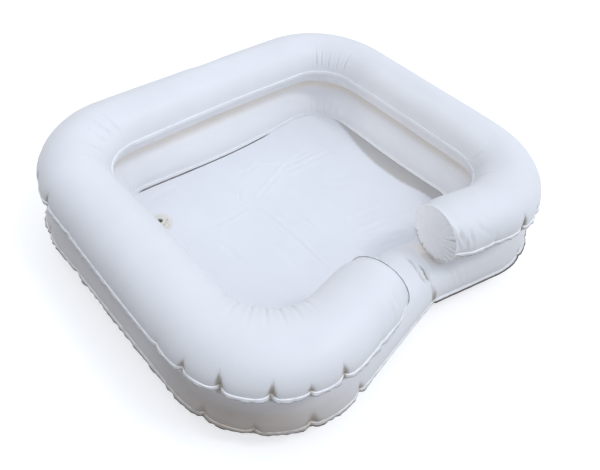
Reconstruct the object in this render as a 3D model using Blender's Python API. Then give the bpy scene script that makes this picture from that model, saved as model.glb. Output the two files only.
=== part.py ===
"""Inflatable shampoo basin: two stacked air rings of welded vinyl sheet, a taut floor with a drain,
a gap in the upper ring for the neck, and an inflation valve for each ring.

Frame: origin under the middle of the basin on the surface it stands on, +X to the right and +Y away from
the neck gap, +Z up. Everything is in metres.
"""

import math

import bmesh
import bpy
from mathutils import Matrix, Vector

MM = 0.001

# The basin, over the welds of its lower ring
BASIN_WIDTH = 711 * MM
BASIN_DEPTH = 618 * MM
BOWL_CORNER_RADIUS = 58 * MM
NOTCH_X = 26 * MM
NOTCH_DEPTH = 33 * MM
NOTCH_TIP_RADIUS = 4 * MM

# Vinyl sheet and its welds
SHEET = 0.4 * MM
GAP = 0.3 * MM
WELD_WIDTH = 6 * MM

# Rings: widths from outer weld edge to inner weld edge, the height between their welds, and how
# far the air is pressed in where they meet and on the ground, or left slack on top
UPPER_RING_WIDTH = 102.4 * MM
LOWER_RING_WIDTH = 109.4 * MM
RING_SPACING = 86.2 * MM
RING_PRESS = 1.4 * MM
GROUND_PRESS = 2.5 * MM
CROWN_SLACK = 1 * MM

# Ends of the upper ring on either side of the neck
LEFT_END_X = -71 * MM
RIGHT_END_X = 59 * MM
END_CAP_BULGE = 9 * MM

# Floor sheet
FLOOR_SAG = 4 * MM
FLOOR_SLOPE_WIDTH = 20 * MM
FLOOR_EDGE_INSET = 0.5 * MM

# Drain
DRAIN_SIDE_CLEARANCE = 4.1 * MM
DRAIN_FROM_BACK = 95.6 * MM
DRAIN_BORE_RADIUS = 6.4 * MM
DRAIN_NECK_WALL = 2.2 * MM
DRAIN_NECK_LENGTH = 12 * MM
DRAIN_FLANGE_RADIUS = 16 * MM
DRAIN_FLANGE_THICKNESS = 1.6 * MM
DRAIN_RIM_HEIGHT = 1.4 * MM
DRAIN_PATCH_RADIUS = 21 * MM
ELBOW_WALL = 2 * MM
ELBOW_DEPTH = 24 * MM
ELBOW_BORE_RADIUS = 5.4 * MM
HOSE_BORE_RADIUS = 4.4 * MM
HOSE_TAIL_RADIUS = 6 * MM
HOSE_TAIL_LENGTH = 34 * MM
HOSE_TAIL_DROP = 17 * MM
HOSE_BARB_HEIGHT = 0.9 * MM
HOSE_BARB_LENGTH = 5 * MM
HOSE_BARB_COUNT = 3
HOSE_BARB_PITCH = 6.5 * MM
DRAIN_PLUG_DEPTH = 5 * MM
DRAIN_PLUG_TAPER = 1.3 * MM
DRAIN_PLUG_HEAD_RADIUS = 10 * MM
DRAIN_PLUG_HEAD = 1.6 * MM
DRAIN_HINGE_REACH = 15 * MM
DRAIN_STRAP_WIDTH = 6 * MM

# Inflation valves, the same moulding on both rings
UPPER_VALVE_X = 20 * MM
LOWER_VALVE_X = -80 * MM
VALVE_TILT = math.radians(20)
VALVE_FLANGE_RADIUS = 13 * MM
VALVE_FLANGE_THICKNESS = 0.9 * MM
VALVE_COLLAR_WALL = 1.7 * MM
VALVE_COLLAR_DEPTH = 6 * MM
STEM_RADIUS = 5.5 * MM
STEM_BORE_RADIUS = 4.2 * MM
STEM_TRAVEL = 9 * MM
STEM_STOP_RADIUS = 6.6 * MM
STEM_STOP = 1 * MM
STEM_RIM_RADIUS = 6.8 * MM
STEM_RIM = 1.4 * MM
STEM_SEAT_RADIUS = 3 * MM
STEM_SEAT = 1 * MM
FLAP_RADIUS = 4.1 * MM
FLAP_THICKNESS = 0.5 * MM
FLAP_TONGUE_WIDTH = 3 * MM
FLAP_HINGE_REACH = 5.2 * MM
VALVE_PLUG_DEPTH = 4.5 * MM
VALVE_PLUG_TAPER = 0.8 * MM
VALVE_PLUG_HEAD_RADIUS = 6.4 * MM
VALVE_PLUG_HEAD = 1.3 * MM
VALVE_HINGE_REACH = 10.5 * MM
VALVE_STRAP_WIDTH = 4 * MM
STRAP_THICKNESS = 1 * MM
PULL_TAB_REACH = 4 * MM
PLUG_WALL = 1.2 * MM

# How far cutters run past what they cut
OVERRUN = 5 * MM

# Facets
CORNER_STEPS = 9
NOTCH_STEPS = 3
ARC_STEPS = 5
ROUND_STEPS = 24

RING_RISE = RING_SPACING / 2 + RING_PRESS
CROWN_RISE = RING_RISE - CROWN_SLACK
PRESSED_RISE = (RING_SPACING - GAP) / 2
LOWER_WELD_HEIGHT = RING_RISE - GROUND_PRESS
UPPER_WELD_HEIGHT = LOWER_WELD_HEIGHT + RING_SPACING
BOWL_X = BASIN_WIDTH / 2 - LOWER_RING_WIDTH
BOWL_Y = BASIN_DEPTH / 2 - LOWER_RING_WIDTH
FLOOR_EDGE_HEIGHT = LOWER_WELD_HEIGHT - GAP / 2 - SHEET - GAP
FLOOR_HEIGHT = FLOOR_EDGE_HEIGHT - FLOOR_SAG
DRAIN_X = FLOOR_SLOPE_WIDTH + DRAIN_SIDE_CLEARANCE + DRAIN_PATCH_RADIUS - BOWL_X
DRAIN_Y = BOWL_Y - DRAIN_FROM_BACK

MATERIALS = {
    "white_vinyl": ((0.86, 0.88, 0.92), 0.38),
    "floor_vinyl": ((0.85, 0.87, 0.91), 0.42),
    "clear_pvc": ((0.82, 0.84, 0.85), 0.25),
    "cream_pvc": ((0.83, 0.77, 0.66), 0.35),
}


def clear_scene():
    for obj in list(bpy.data.objects):
        bpy.data.objects.remove(obj, do_unlink=True)


def material(name):
    found = bpy.data.materials.get(name)
    if found:
        return found
    colour, roughness = MATERIALS[name]
    made = bpy.data.materials.new(name)
    made.use_nodes = True
    shader = made.node_tree.nodes["Principled BSDF"]
    shader.inputs["Base Color"].default_value = (*colour, 1)
    shader.inputs["Roughness"].default_value = roughness
    shader.inputs["Metallic"].default_value = 0
    return made


def add_object(name, bm, finish, parent=None, smooth_below=35):
    """Makes an object from a bmesh, with its faces pointing out."""
    bmesh.ops.recalc_face_normals(bm, faces=bm.faces)
    mesh = bpy.data.meshes.new(name)
    bm.to_mesh(mesh)
    bm.free()
    mesh.shade_smooth()
    mesh.set_sharp_from_angle(angle=math.radians(smooth_below))
    obj = bpy.data.objects.new(name, mesh)
    bpy.context.scene.collection.objects.link(obj)
    mesh.materials.append(material(finish))
    obj.parent = parent
    return obj


def add_empty(name, matrix, parent=None):
    empty = bpy.data.objects.new(name, None)
    bpy.context.scene.collection.objects.link(empty)
    empty.parent = parent
    empty.matrix_local = matrix
    return empty


def cut(obj, cutter, operation="DIFFERENCE"):
    modifier = obj.modifiers.new(cutter.name, "BOOLEAN")
    modifier.operation = operation
    modifier.solver = "EXACT"
    modifier.object = cutter
    cutter.hide_render = True
    cutter.display_type = "WIRE"


class Station:
    """A place on the line of the inner welds, and the way out from it."""

    def __init__(self, x, y, angle):
        self.out = Vector((math.cos(angle), math.sin(angle)))
        self.base = Vector((x, y))

    def at(self, offset, height):
        point = self.base + self.out * offset
        return Vector((point.x, point.y, height))


def notch_centre_y():
    return -BASIN_DEPTH / 2 + NOTCH_DEPTH - NOTCH_TIP_RADIUS


def front_slope(side):
    """The angle by which one half of the front runs back from its corner to the notch.

    side is 1 for the right half and -1 for the left half.
    """
    corner_x = BOWL_X - BOWL_CORNER_RADIUS
    corner_y = BOWL_CORNER_RADIUS - BOWL_Y
    across = Vector((corner_x - side * NOTCH_X, corner_y - notch_centre_y()))
    reach = BOWL_CORNER_RADIUS + LOWER_RING_WIDTH + NOTCH_TIP_RADIUS
    return math.asin(reach / across.length) - math.atan2(across.y, across.x)


def arc(centre_x, centre_y, radius, start, end, steps):
    made = []
    for i in range(steps + 1):
        angle = start + (end - start) * i / steps
        x = centre_x + radius * math.cos(angle)
        y = centre_y + radius * math.sin(angle)
        made.append(Station(x, y, angle))
    return made


def corner_stations():
    """The four corners in turn, from the right of the notch, round the back, to its left."""
    x = BOWL_X - BOWL_CORNER_RADIUS
    y = BOWL_Y - BOWL_CORNER_RADIUS
    quarter = math.pi / 2
    front_steps = CORNER_STEPS + 1
    made = arc(x, -y, BOWL_CORNER_RADIUS, -quarter - front_slope(1), 0, front_steps)
    made += arc(x, y, BOWL_CORNER_RADIUS, 0, quarter, CORNER_STEPS)
    made += arc(-x, y, BOWL_CORNER_RADIUS, quarter, 2 * quarter, CORNER_STEPS)
    last = 3 * quarter + front_slope(-1)
    made += arc(-x, -y, BOWL_CORNER_RADIUS, 2 * quarter, last, front_steps)
    return made


def notch_stations():
    """The bend at the notch, from left to right, where the way out turns back."""
    down = -math.pi / 2
    start = down + front_slope(-1)
    end = down - front_slope(1)
    radius = -(NOTCH_TIP_RADIUS + LOWER_RING_WIDTH)
    return arc(NOTCH_X, notch_centre_y(), radius, start, end, NOTCH_STEPS)


def end_station(end_x):
    """The place on the front of the basin where the middle of the upper ring is at end_x."""
    notch = notch_stations()
    near = notch[-1] if end_x > NOTCH_X else notch[0]
    along = Vector((-near.out.y, near.out.x))
    middle = near.base + near.out * (UPPER_RING_WIDTH / 2)
    made = Station(0, 0, math.atan2(near.out.y, near.out.x))
    made.base = near.base + along * ((end_x - middle.x) / along.x)
    return made


def upper_stations():
    return [end_station(RIGHT_END_X), *corner_stations(), end_station(LEFT_END_X)]


def lower_stations():
    return [*corner_stations(), *notch_stations()]


def half_arc(half_width, rise, height, inset=0):
    """Half of a tube's section from its outer side to its inner side, pressed flat at height."""
    wide, tall = half_width - inset, rise - inset
    flat_from = math.asin(min(1, (height - inset) / tall))
    angles = [flat_from * i / ARC_STEPS for i in range(ARC_STEPS + 1)]
    after = [math.pi - a for a in reversed(angles)]
    if math.isclose(flat_from, math.pi / 2):
        after = after[1:]
    return [(wide * math.cos(a), tall * math.sin(a)) for a in angles + after]


def sheet_section(ring_width, rise, height, side):
    """The closed section of one half of a ring: its wall, and a weld margin on each side.

    side is 1 for a top sheet and -1 for a bottom sheet.
    """
    half = ring_width / 2
    root = half - WELD_WIDTH
    low, high = GAP / 2, GAP / 2 + SHEET
    outer = half_arc(root, rise, height)
    inner = half_arc(root, rise, height, SHEET)
    outer = [(outer[0][0], high), *outer[1:-1], (outer[-1][0], high)]
    inner = [(inner[0][0], low), *inner[1:-1], (inner[-1][0], low)]
    line = [(half, high), *outer, (-half, high), (-half, low), *reversed(inner), (half, low)]
    return [(u + half, z * side) for u, z in line]


def sweep(stations, section, height, closed):
    """A bmesh of the section carried along the stations."""
    bm = bmesh.new()
    rings = []
    for station in stations:
        verts = [bm.verts.new(station.at(u, height + z)) for u, z in section]
        edges = [bm.edges.new((verts[i - 1], verts[i])) for i in range(len(verts))]
        rings.append((verts, edges))
    pairs = list(zip(rings, rings[1:]))
    if closed:
        pairs.append((rings[-1], rings[0]))
    for first, second in pairs:
        bmesh.ops.bridge_loops(bm, edges=first[1] + second[1])
    if not closed:
        bm.faces.new(rings[0][0])
        bm.faces.new(rings[-1][0])
    return bm


class Ring:
    """One of the two air rings: where it runs, and the width and height of its welds."""

    def __init__(self, stations, closed, width, weld_height):
        self.stations = stations
        self.closed = closed
        self.width = width
        self.weld_height = weld_height


def ring_sheet(name, ring, rise, crown, side):
    """One sheet of a ring, over its welds or under them."""
    section = sheet_section(ring.width, rise, crown, side)
    bm = sweep(ring.stations, section, ring.weld_height, ring.closed)
    return add_object(name, bm, "white_vinyl")


def turned(profile, closed=True):
    """A profile of (radius, height) points turned round +Z.

    An open profile is closed by a flat face at each end.
    """
    bm = bmesh.new()
    verts = [bm.verts.new((radius, 0, height)) for radius, height in profile]
    edges = [bm.edges.new(pair) for pair in zip(verts, verts[1:])]
    if closed:
        edges.append(bm.edges.new((verts[-1], verts[0])))
    bmesh.ops.spin(
        bm,
        geom=verts + edges,
        cent=(0, 0, 0),
        axis=(0, 0, 1),
        angle=2 * math.pi,
        steps=ROUND_STEPS,
        use_merge=True,
    )
    bmesh.ops.holes_fill(bm, edges=bm.edges)
    return bm


def turned_solid(profile):
    return turned(profile, closed=False)


def block(bm, low, high):
    made = bmesh.ops.create_cube(bm, size=1)
    middle = (Vector(low) + Vector(high)) / 2
    size = Vector(high) - Vector(low)
    bmesh.ops.scale(bm, verts=made["verts"], vec=size)
    bmesh.ops.translate(bm, verts=made["verts"], vec=middle)


def block_object(name, low, high, finish, parent):
    bm = bmesh.new()
    block(bm, low, high)
    return add_object(name, bm, finish, parent)


def end_cap(name, station, facing):
    """The bulged disc that closes one end of the upper ring, just off the edges of its sheets."""
    root = UPPER_RING_WIDTH / 2 - WELD_WIDTH
    top = half_arc(root, CROWN_RISE, CROWN_RISE)
    bottom = half_arc(root, RING_RISE, PRESSED_RISE)
    outline = top + [(u, -z) for u, z in reversed(bottom[1:-1])]
    along = Vector((-station.out.y, station.out.x, 0)) * facing
    bm = bmesh.new()
    size_shares = (1, 0.8, 0.5, 0.2)
    loops = []
    for thickness in (SHEET, 0):
        side = []
        for share in size_shares:
            bulge = END_CAP_BULGE * (1 - share * share)
            away = along * (GAP + thickness + bulge)
            points = [(u * share + UPPER_RING_WIDTH / 2, z * share) for u, z in outline]
            verts = [bm.verts.new(station.at(u, UPPER_WELD_HEIGHT + z) + away) for u, z in points]
            side.append([bm.edges.new((verts[i - 1], verts[i])) for i in range(len(verts))])
        for first, second in zip(side, side[1:]):
            bmesh.ops.bridge_loops(bm, edges=first + second)
        bmesh.ops.contextual_create(bm, geom=side[-1])
        loops.append(side[0])
    bmesh.ops.bridge_loops(bm, edges=loops[0] + loops[1])
    return add_object(name, bm, "white_vinyl")


def floor_sheet(stations):
    """The floor, held under the inner weld of the lower ring, with a hole for the drain."""
    slope = (
        (WELD_WIDTH - FLOOR_EDGE_INSET, 0),
        (0, 0),
        (-FLOOR_SLOPE_WIDTH, FLOOR_SAG),
    )
    bm = bmesh.new()
    sides = []
    for drop in (0, SHEET):
        loops = []
        for offset, sag in slope:
            height = FLOOR_EDGE_HEIGHT - sag - drop
            verts = [bm.verts.new(station.at(offset, height)) for station in stations]
            loops.append([bm.edges.new((verts[i - 1], verts[i])) for i in range(len(verts))])
        for first, second in zip(loops, loops[1:]):
            bmesh.ops.bridge_loops(bm, edges=first + second)
        bmesh.ops.contextual_create(bm, geom=loops[-1])
        sides.append(loops[0])
    bmesh.ops.bridge_loops(bm, edges=sides[0] + sides[1])
    floor = add_object("basin_floor_sheet", bm, "floor_vinyl")
    hole = turned_solid(
        (
            (drain_hole_radius(), FLOOR_HEIGHT - SHEET - OVERRUN),
            (drain_hole_radius(), FLOOR_HEIGHT + OVERRUN),
        )
    )
    cutter = add_object("drain_hole_cutter", hole, "floor_vinyl")
    cutter.location = (DRAIN_X, DRAIN_Y, 0)
    cut(floor, cutter)
    return floor


def drain_neck_radius():
    return DRAIN_BORE_RADIUS + DRAIN_NECK_WALL


def drain_hole_radius():
    return drain_neck_radius() + GAP


def plug(name, bore_radius, depth, taper, head_radius, head, reach, width, finish, parent):
    """A hollow stopper with a finger tab, and a strap that runs to its hinge at -reach.

    Its head stands on height 0, and the hinge line is at (-reach, 0).
    """
    shank = bore_radius - GAP
    tip = shank - taper
    bm = turned_solid(((tip, -depth), (shank, 0), (head_radius, 0), (head_radius, head)))
    body = add_object(name, bm, finish, parent)
    strap = block_object(
        f"{name}_strap_cutter",
        (-reach, -width / 2, 0),
        (-(shank + head_radius) / 2, width / 2, STRAP_THICKNESS),
        finish,
        parent,
    )
    cut(body, strap, "UNION")
    tab = block_object(
        f"{name}_tab_cutter",
        ((shank + head_radius) / 2, -width / 2, 0),
        (head_radius + PULL_TAB_REACH, width / 2, STRAP_THICKNESS),
        finish,
        parent,
    )
    cut(body, tab, "UNION")
    hollow = turned_solid(
        (
            (tip - PLUG_WALL, PLUG_WALL - depth),
            (shank - PLUG_WALL, head + OVERRUN),
        )
    )
    cut(body, add_object(f"{name}_hollow_cutter", hollow, finish, parent))
    return body


def drain():
    """The drain: a patch on the floor, a flanged neck through it, a hose elbow below and a stopper above."""
    finish = "cream_pvc"
    spot = add_empty("drain_place", Matrix.Translation((DRAIN_X, DRAIN_Y, FLOOR_HEIGHT)))
    hole = drain_hole_radius()
    neck = drain_neck_radius()
    patch_low = GAP
    patch_high = patch_low + SHEET
    patch = (
        (hole, patch_low),
        (DRAIN_PATCH_RADIUS, patch_low),
        (DRAIN_PATCH_RADIUS, patch_high),
        (hole, patch_high),
    )
    add_object("drain_patch", turned(patch), finish, spot)

    flange_low = patch_high + GAP
    flange_high = flange_low + DRAIN_FLANGE_THICKNESS
    rim = flange_high + DRAIN_RIM_HEIGHT
    flange = (
        (DRAIN_BORE_RADIUS, -DRAIN_NECK_LENGTH),
        (neck, -DRAIN_NECK_LENGTH),
        (neck, flange_low),
        (DRAIN_FLANGE_RADIUS, flange_low),
        (DRAIN_FLANGE_RADIUS, flange_high),
        (neck, flange_high),
        (neck, rim),
        (DRAIN_BORE_RADIUS, rim),
    )
    body = add_object("drain_flange", turned(flange), finish, spot)
    ear = block_object(
        "drain_ear_cutter",
        (GAP - DRAIN_HINGE_REACH, -DRAIN_STRAP_WIDTH / 2, (flange_low + flange_high) / 2),
        (-(DRAIN_BORE_RADIUS + neck) / 2, DRAIN_STRAP_WIDTH / 2, rim),
        finish,
        spot,
    )
    cut(body, ear, "UNION")
    drain_elbow(spot, neck)

    hinge = add_empty("drain_plug_place", Matrix.Translation((0, 0, rim + GAP)), spot)
    plug(
        "drain_plug",
        DRAIN_BORE_RADIUS,
        DRAIN_PLUG_DEPTH,
        DRAIN_PLUG_TAPER,
        DRAIN_PLUG_HEAD_RADIUS,
        DRAIN_PLUG_HEAD,
        DRAIN_HINGE_REACH,
        DRAIN_STRAP_WIDTH,
        finish,
        hinge,
    )


def drain_elbow(spot, neck):
    """The elbow pushed up over the neck, with a ribbed tail for a hose towards the left side."""
    finish = "cream_pvc"
    socket = neck + GAP
    outer = socket + ELBOW_WALL
    top = -SHEET - GAP
    shoulder = -DRAIN_NECK_LENGTH - GAP
    body = add_object(
        "drain_elbow",
        turned_solid(((outer, -ELBOW_DEPTH), (outer, top))),
        finish,
        spot,
    )
    sideways = Matrix.Translation((0, 0, -HOSE_TAIL_DROP)) @ Matrix.Rotation(-math.pi / 2, 4, "Y")
    tail_place = add_empty("hose_tail_place", sideways, spot)
    barbs = [(HOSE_TAIL_RADIUS, socket)]
    for i in reversed(range(HOSE_BARB_COUNT)):
        foot = HOSE_TAIL_LENGTH - HOSE_BARB_LENGTH - i * HOSE_BARB_PITCH
        barbs += [
            (HOSE_TAIL_RADIUS, foot),
            (HOSE_TAIL_RADIUS + HOSE_BARB_HEIGHT, foot),
            (HOSE_TAIL_RADIUS, foot + HOSE_BARB_LENGTH),
        ]
    cut(body, add_object("hose_tail_cutter", turned_solid(barbs), finish, tail_place), "UNION")
    well = turned_solid(
        (
            (ELBOW_BORE_RADIUS, -HOSE_TAIL_DROP),
            (ELBOW_BORE_RADIUS, shoulder),
            (socket, shoulder),
            (socket, top + OVERRUN),
        )
    )
    cut(body, add_object("elbow_well_cutter", well, finish, spot))
    bore = turned_solid(((HOSE_BORE_RADIUS, 0), (HOSE_BORE_RADIUS, HOSE_TAIL_LENGTH + OVERRUN)))
    cut(body, add_object("hose_bore_cutter", bore, finish, tail_place))
    return body


def bend_round_tube(bm, radius):
    """Drops the points of a flat disc by the curve of a tube that runs along X."""
    for vert in bm.verts:
        if vert.co.xy.length > STEM_RADIUS + GAP + VALVE_COLLAR_WALL + GAP:
            reach = min(abs(vert.co.y), radius)
            vert.co.z -= radius - math.sqrt(radius * radius - reach * reach)


def valve_place(x, ring, rise):
    """A frame on the back of a ring with +Z out of the tube and X along it."""
    half = ring.width / 2 - WELD_WIDTH
    middle_y = BOWL_Y + ring.width / 2
    point = Vector(
        (
            x,
            middle_y + half * math.cos(VALVE_TILT),
            ring.weld_height + rise * math.sin(VALVE_TILT),
        )
    )
    turn = Matrix.Rotation(VALVE_TILT - math.pi / 2, 4, "X")
    return Matrix.Translation(point) @ turn, half


def valve(name, x, ring, rise, sheet):
    """An inflation valve: a welded base, a stem that pushes in, a check flap and a strapped plug."""
    finish = "clear_pvc"
    matrix, tube_radius = valve_place(x, ring, rise)
    spot = add_empty(f"{name}_place", matrix)
    bore = STEM_RADIUS + GAP
    collar = bore + VALVE_COLLAR_WALL
    flange_top = GAP + VALVE_FLANGE_THICKNESS
    base = turned(
        (
            (bore, -VALVE_COLLAR_DEPTH),
            (collar, -VALVE_COLLAR_DEPTH),
            (collar, GAP),
            (VALVE_FLANGE_RADIUS, GAP),
            (VALVE_FLANGE_RADIUS, flange_top),
            (collar, flange_top),
            (bore, flange_top),
        )
    )
    bend_round_tube(base, tube_radius + flange_top)
    add_object(f"{name}_base", base, finish, spot)
    hole_radius = collar + GAP
    hole = turned_solid(((hole_radius, -VALVE_COLLAR_DEPTH - OVERRUN), (hole_radius, OVERRUN)))
    cut(sheet, add_object(f"{name}_hole_cutter", hole, finish, spot))

    rim_low = flange_top + GAP
    rim_high = rim_low + STEM_RIM
    stop_high = -VALVE_COLLAR_DEPTH - GAP - STEM_TRAVEL
    stem_low = stop_high - STEM_STOP
    stem = turned(
        (
            (STEM_SEAT_RADIUS, stem_low),
            (STEM_STOP_RADIUS, stem_low),
            (STEM_STOP_RADIUS, stop_high),
            (STEM_RADIUS, stop_high),
            (STEM_RADIUS, rim_low),
            (STEM_RIM_RADIUS, rim_low),
            (STEM_RIM_RADIUS, rim_high),
            (STEM_BORE_RADIUS, rim_high),
            (STEM_BORE_RADIUS, stem_low + STEM_SEAT),
            (STEM_SEAT_RADIUS, stem_low + STEM_SEAT),
        )
    )
    body = add_object(f"{name}_stem", stem, finish, spot)
    ear = block_object(
        f"{name}_ear_cutter",
        (GAP - VALVE_HINGE_REACH, -VALVE_STRAP_WIDTH / 2, rim_low),
        (-(STEM_RADIUS + STEM_BORE_RADIUS) / 2, VALVE_STRAP_WIDTH / 2, rim_high),
        finish,
        spot,
    )
    cut(body, ear, "UNION")

    flap_top = stem_low - GAP
    flap_bottom = flap_top - FLAP_THICKNESS
    flap = turned_solid(((FLAP_RADIUS, flap_bottom), (FLAP_RADIUS, flap_top)))
    flap_disc = add_object(f"{name}_flap", flap, finish, spot)
    tongue = block_object(
        f"{name}_tongue_cutter",
        (-FLAP_HINGE_REACH, -FLAP_TONGUE_WIDTH / 2, flap_bottom),
        (-FLAP_RADIUS / 2, FLAP_TONGUE_WIDTH / 2, flap_top),
        finish,
        spot,
    )
    cut(flap_disc, tongue, "UNION")

    hinge = add_empty(f"{name}_plug_place", Matrix.Translation((0, 0, rim_high + GAP)), spot)
    plug(
        f"{name}_plug",
        STEM_BORE_RADIUS,
        VALVE_PLUG_DEPTH,
        VALVE_PLUG_TAPER,
        VALVE_PLUG_HEAD_RADIUS,
        VALVE_PLUG_HEAD,
        VALVE_HINGE_REACH,
        VALVE_STRAP_WIDTH,
        finish,
        hinge,
    )


def main():
    clear_scene()
    upper = Ring(upper_stations(), False, UPPER_RING_WIDTH, UPPER_WELD_HEIGHT)
    lower = Ring(lower_stations(), True, LOWER_RING_WIDTH, LOWER_WELD_HEIGHT)
    crown = ring_sheet("upper_ring_top_sheet", upper, CROWN_RISE, CROWN_RISE, 1)
    ring_sheet("upper_ring_bottom_sheet", upper, RING_RISE, PRESSED_RISE, -1)
    shoulder = ring_sheet("lower_ring_top_sheet", lower, RING_RISE, PRESSED_RISE, 1)
    ring_sheet("lower_ring_bottom_sheet", lower, RING_RISE, LOWER_WELD_HEIGHT, -1)
    end_cap("upper_ring_left_end_cap", end_station(LEFT_END_X), 1)
    end_cap("upper_ring_right_end_cap", end_station(RIGHT_END_X), -1)
    floor_sheet(lower.stations)
    drain()
    valve("upper_valve", UPPER_VALVE_X, upper, CROWN_RISE, crown)
    valve("lower_valve", LOWER_VALVE_X, lower, RING_RISE, shoulder)


main()
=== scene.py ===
"""An inflatable shampoo basin: pleated vinyl rings, a taut floor, a drain and air valves.

Everything is in metres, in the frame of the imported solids, which carry the joints.
"""

import math
import random

import bmesh
import bpy
from mathutils import Matrix, Vector, noise

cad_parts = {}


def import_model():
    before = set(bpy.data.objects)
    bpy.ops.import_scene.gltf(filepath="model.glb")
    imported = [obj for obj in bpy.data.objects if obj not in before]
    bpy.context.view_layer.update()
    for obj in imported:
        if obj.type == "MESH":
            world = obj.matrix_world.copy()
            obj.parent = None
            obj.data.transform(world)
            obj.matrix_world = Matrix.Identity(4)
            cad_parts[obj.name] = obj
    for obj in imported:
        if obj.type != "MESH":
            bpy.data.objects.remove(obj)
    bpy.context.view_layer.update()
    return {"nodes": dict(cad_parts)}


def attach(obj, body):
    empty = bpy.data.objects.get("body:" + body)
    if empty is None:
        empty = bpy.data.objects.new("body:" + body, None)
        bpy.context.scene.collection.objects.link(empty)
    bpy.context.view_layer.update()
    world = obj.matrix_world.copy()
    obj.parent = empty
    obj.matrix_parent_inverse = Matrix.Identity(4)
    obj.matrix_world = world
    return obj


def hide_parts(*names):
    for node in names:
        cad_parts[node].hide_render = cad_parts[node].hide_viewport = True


MM = 0.001

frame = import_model()

# The basin in plan

BASIN_WIDTH = 711 * MM
BASIN_DEPTH = 618 * MM
BOWL_CORNER = 58 * MM
INNER_CORNER = 70 * MM
NOTCH_X = 26 * MM
NOTCH_DEPTH = 33 * MM
NOTCH_TIP = 4 * MM

# Sheets and rings

SHEET = 0.4 * MM
GAP = 0.3 * MM
WELD = 6 * MM
UPPER_WIDTH = 102.4 * MM
LOWER_WIDTH = 109.4 * MM
LOWER_HEIGHT = 42 * MM
RING_SPACING = 86.2 * MM
UPPER_HEIGHT = LOWER_HEIGHT + RING_SPACING
RING_RISE = 44.5 * MM
CROWN_RISE = 43.5 * MM
PRESSED = (RING_SPACING - GAP) / 2
BOWL_X = BASIN_WIDTH / 2 - LOWER_WIDTH
BOWL_Y = BASIN_DEPTH / 2 - LOWER_WIDTH

# End caps of the upper ring

LEFT_END_X = -75 * MM
RIGHT_END_X = 61.5 * MM
CAP_CLEARANCE = 9 * MM
LEFT_BULGE = 9 * MM
RIGHT_BULGE = 5.5 * MM
CAP_RIM_SHARE = 1.03

# Floor, drain and valves

FLOOR_EDGE_HEIGHT = LOWER_HEIGHT - GAP / 2 - SHEET - GAP
FLOOR_SAG = 4 * MM
FLOOR_DROP = 4.5 * MM
DRAIN_X = -201 * MM
DRAIN_Y = 104 * MM
DRAIN_PLACE = Matrix.Translation((DRAIN_X, DRAIN_Y, FLOOR_EDGE_HEIGHT - FLOOR_SAG))
DRAIN_HOLE = 8.9 * MM
DRAIN_RIM = 4 * MM
UPPER_VALVE_X = 20 * MM
LOWER_VALVE_X = -80 * MM
VALVE_TILT = math.radians(20)
VALVE_HOLE = 8.4 * MM
STEM_RIM = 2.9 * MM

# Departures from the plain plan: on the front right, right, back, left and front left side in turn

FLOOR_PULLS = (3 * MM, 8 * MM, 12 * MM, 8 * MM, 3 * MM)
FLOOR_BOWS = (0, 8 * MM, 10 * MM, 7 * MM, 0)
UPPER_INNER_BOWS = (0, -3 * MM, -4 * MM, 2 * MM, 0)
UPPER_SWELLS = (3 * MM, -4 * MM, 0, 5 * MM, 5.5 * MM)
LOWER_SWELLS = (-0.5 * MM, -3 * MM, 0, -5 * MM, 2.5 * MM)
UPPER_LEFT_LEAN = 5 * MM
LOWER_TIGHTENING = 6 * MM
DROOP_REACH = 5 * MM

# Steps along each side of a ring, round its corners and round the tip of the notch

SIDE_STEPS = (84, 120, 84)
FRONT_LEFT_STEPS = 54
FRONT_RIGHT_STEPS = 50
CORNER_STEPS = 100
TIP_STEPS = 14
FLOOR_STEPS = 176

# What is marked on the sheets: folds with painted shade, welds, beads with a painted highlight, painted
# shade where sheets touch, a darker outer wash, grime and painted shade on margins, painted glow

MARKS = ("fold", "weld", "bead_highlight", "contact_shade", "film", "grime_and_shade", "painted_glow")

# Camera and light

CAMERA_TURN = math.radians(-48.63)
CAMERA_RISE = math.radians(47.28)
CAMERA_ROLL = math.radians(8.61)
CAMERA_LENS = 34.015
CAMERA_PLACE = Vector((-0.5083, -0.4671, 0.7172))
KEY_TURN = math.radians(-50)
KEY_RISE = math.radians(60)
KEY_SPREAD = math.radians(14)
KEY_TONE = (0.97, 0.99, 1.02)
LOW_SKY = (0.52, 0.48, 0.445)
HIGH_SKY = (0.845, 0.925, 1.06)
DIM_SKY = (0.12, 0.11, 0.1)
STAGE_TONE = (0.16, 0.14, 0.12)
STAGE_SEEN = (0.62, 0.62, 0.62)
BLACK = (0, 0, 0)
WHITE = (1, 1, 1)

# Colours

RING_TONE = (0.86, 0.853, 0.856)
FLOOR_TONE = (0.85, 0.848, 0.86)
SMUDGE = (0.62, 0.6, 0.57)
BEAD_HIGHLIGHT_WHITE = (0.95, 0.955, 0.96)
PAINTED_GLOW_TONE = (1, 0.98, 0.95)
FOLD_SHADE_BROWN = (0.34, 0.28, 0.22)
CONTACT_SHADE_BEIGE = (0.61, 0.545, 0.455)
OUTER_DARKENING = (0.39, 0.325, 0.265)
MARGIN_GRIME_AND_SHADE = (0.07, 0.045, 0.025)
BACK_WALL_SHADOW_LINE = (0.1, 0.085, 0.08)
RIGHT_WALL_SHADOW_STRIP = (0.47, 0.44, 0.4)
PLUG_HOLLOW_SHADE = (0.09, 0.07, 0.05)
CREAM, CREAM_SHADE = (0.8, 0.76, 0.69), (0.7, 0.64, 0.54)
PATCH, PATCH_SHADE = (0.83, 0.8, 0.76), (0.74, 0.69, 0.62)
CLEAR, CLEAR_SHADE = (0.80, 0.83, 0.84), (0.70, 0.72, 0.70)


def smooth(value):
    """A soft step from 0 to 1."""
    value = min(1.0, max(0.0, value))
    return value * value * (3 - 2 * value)


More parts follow.
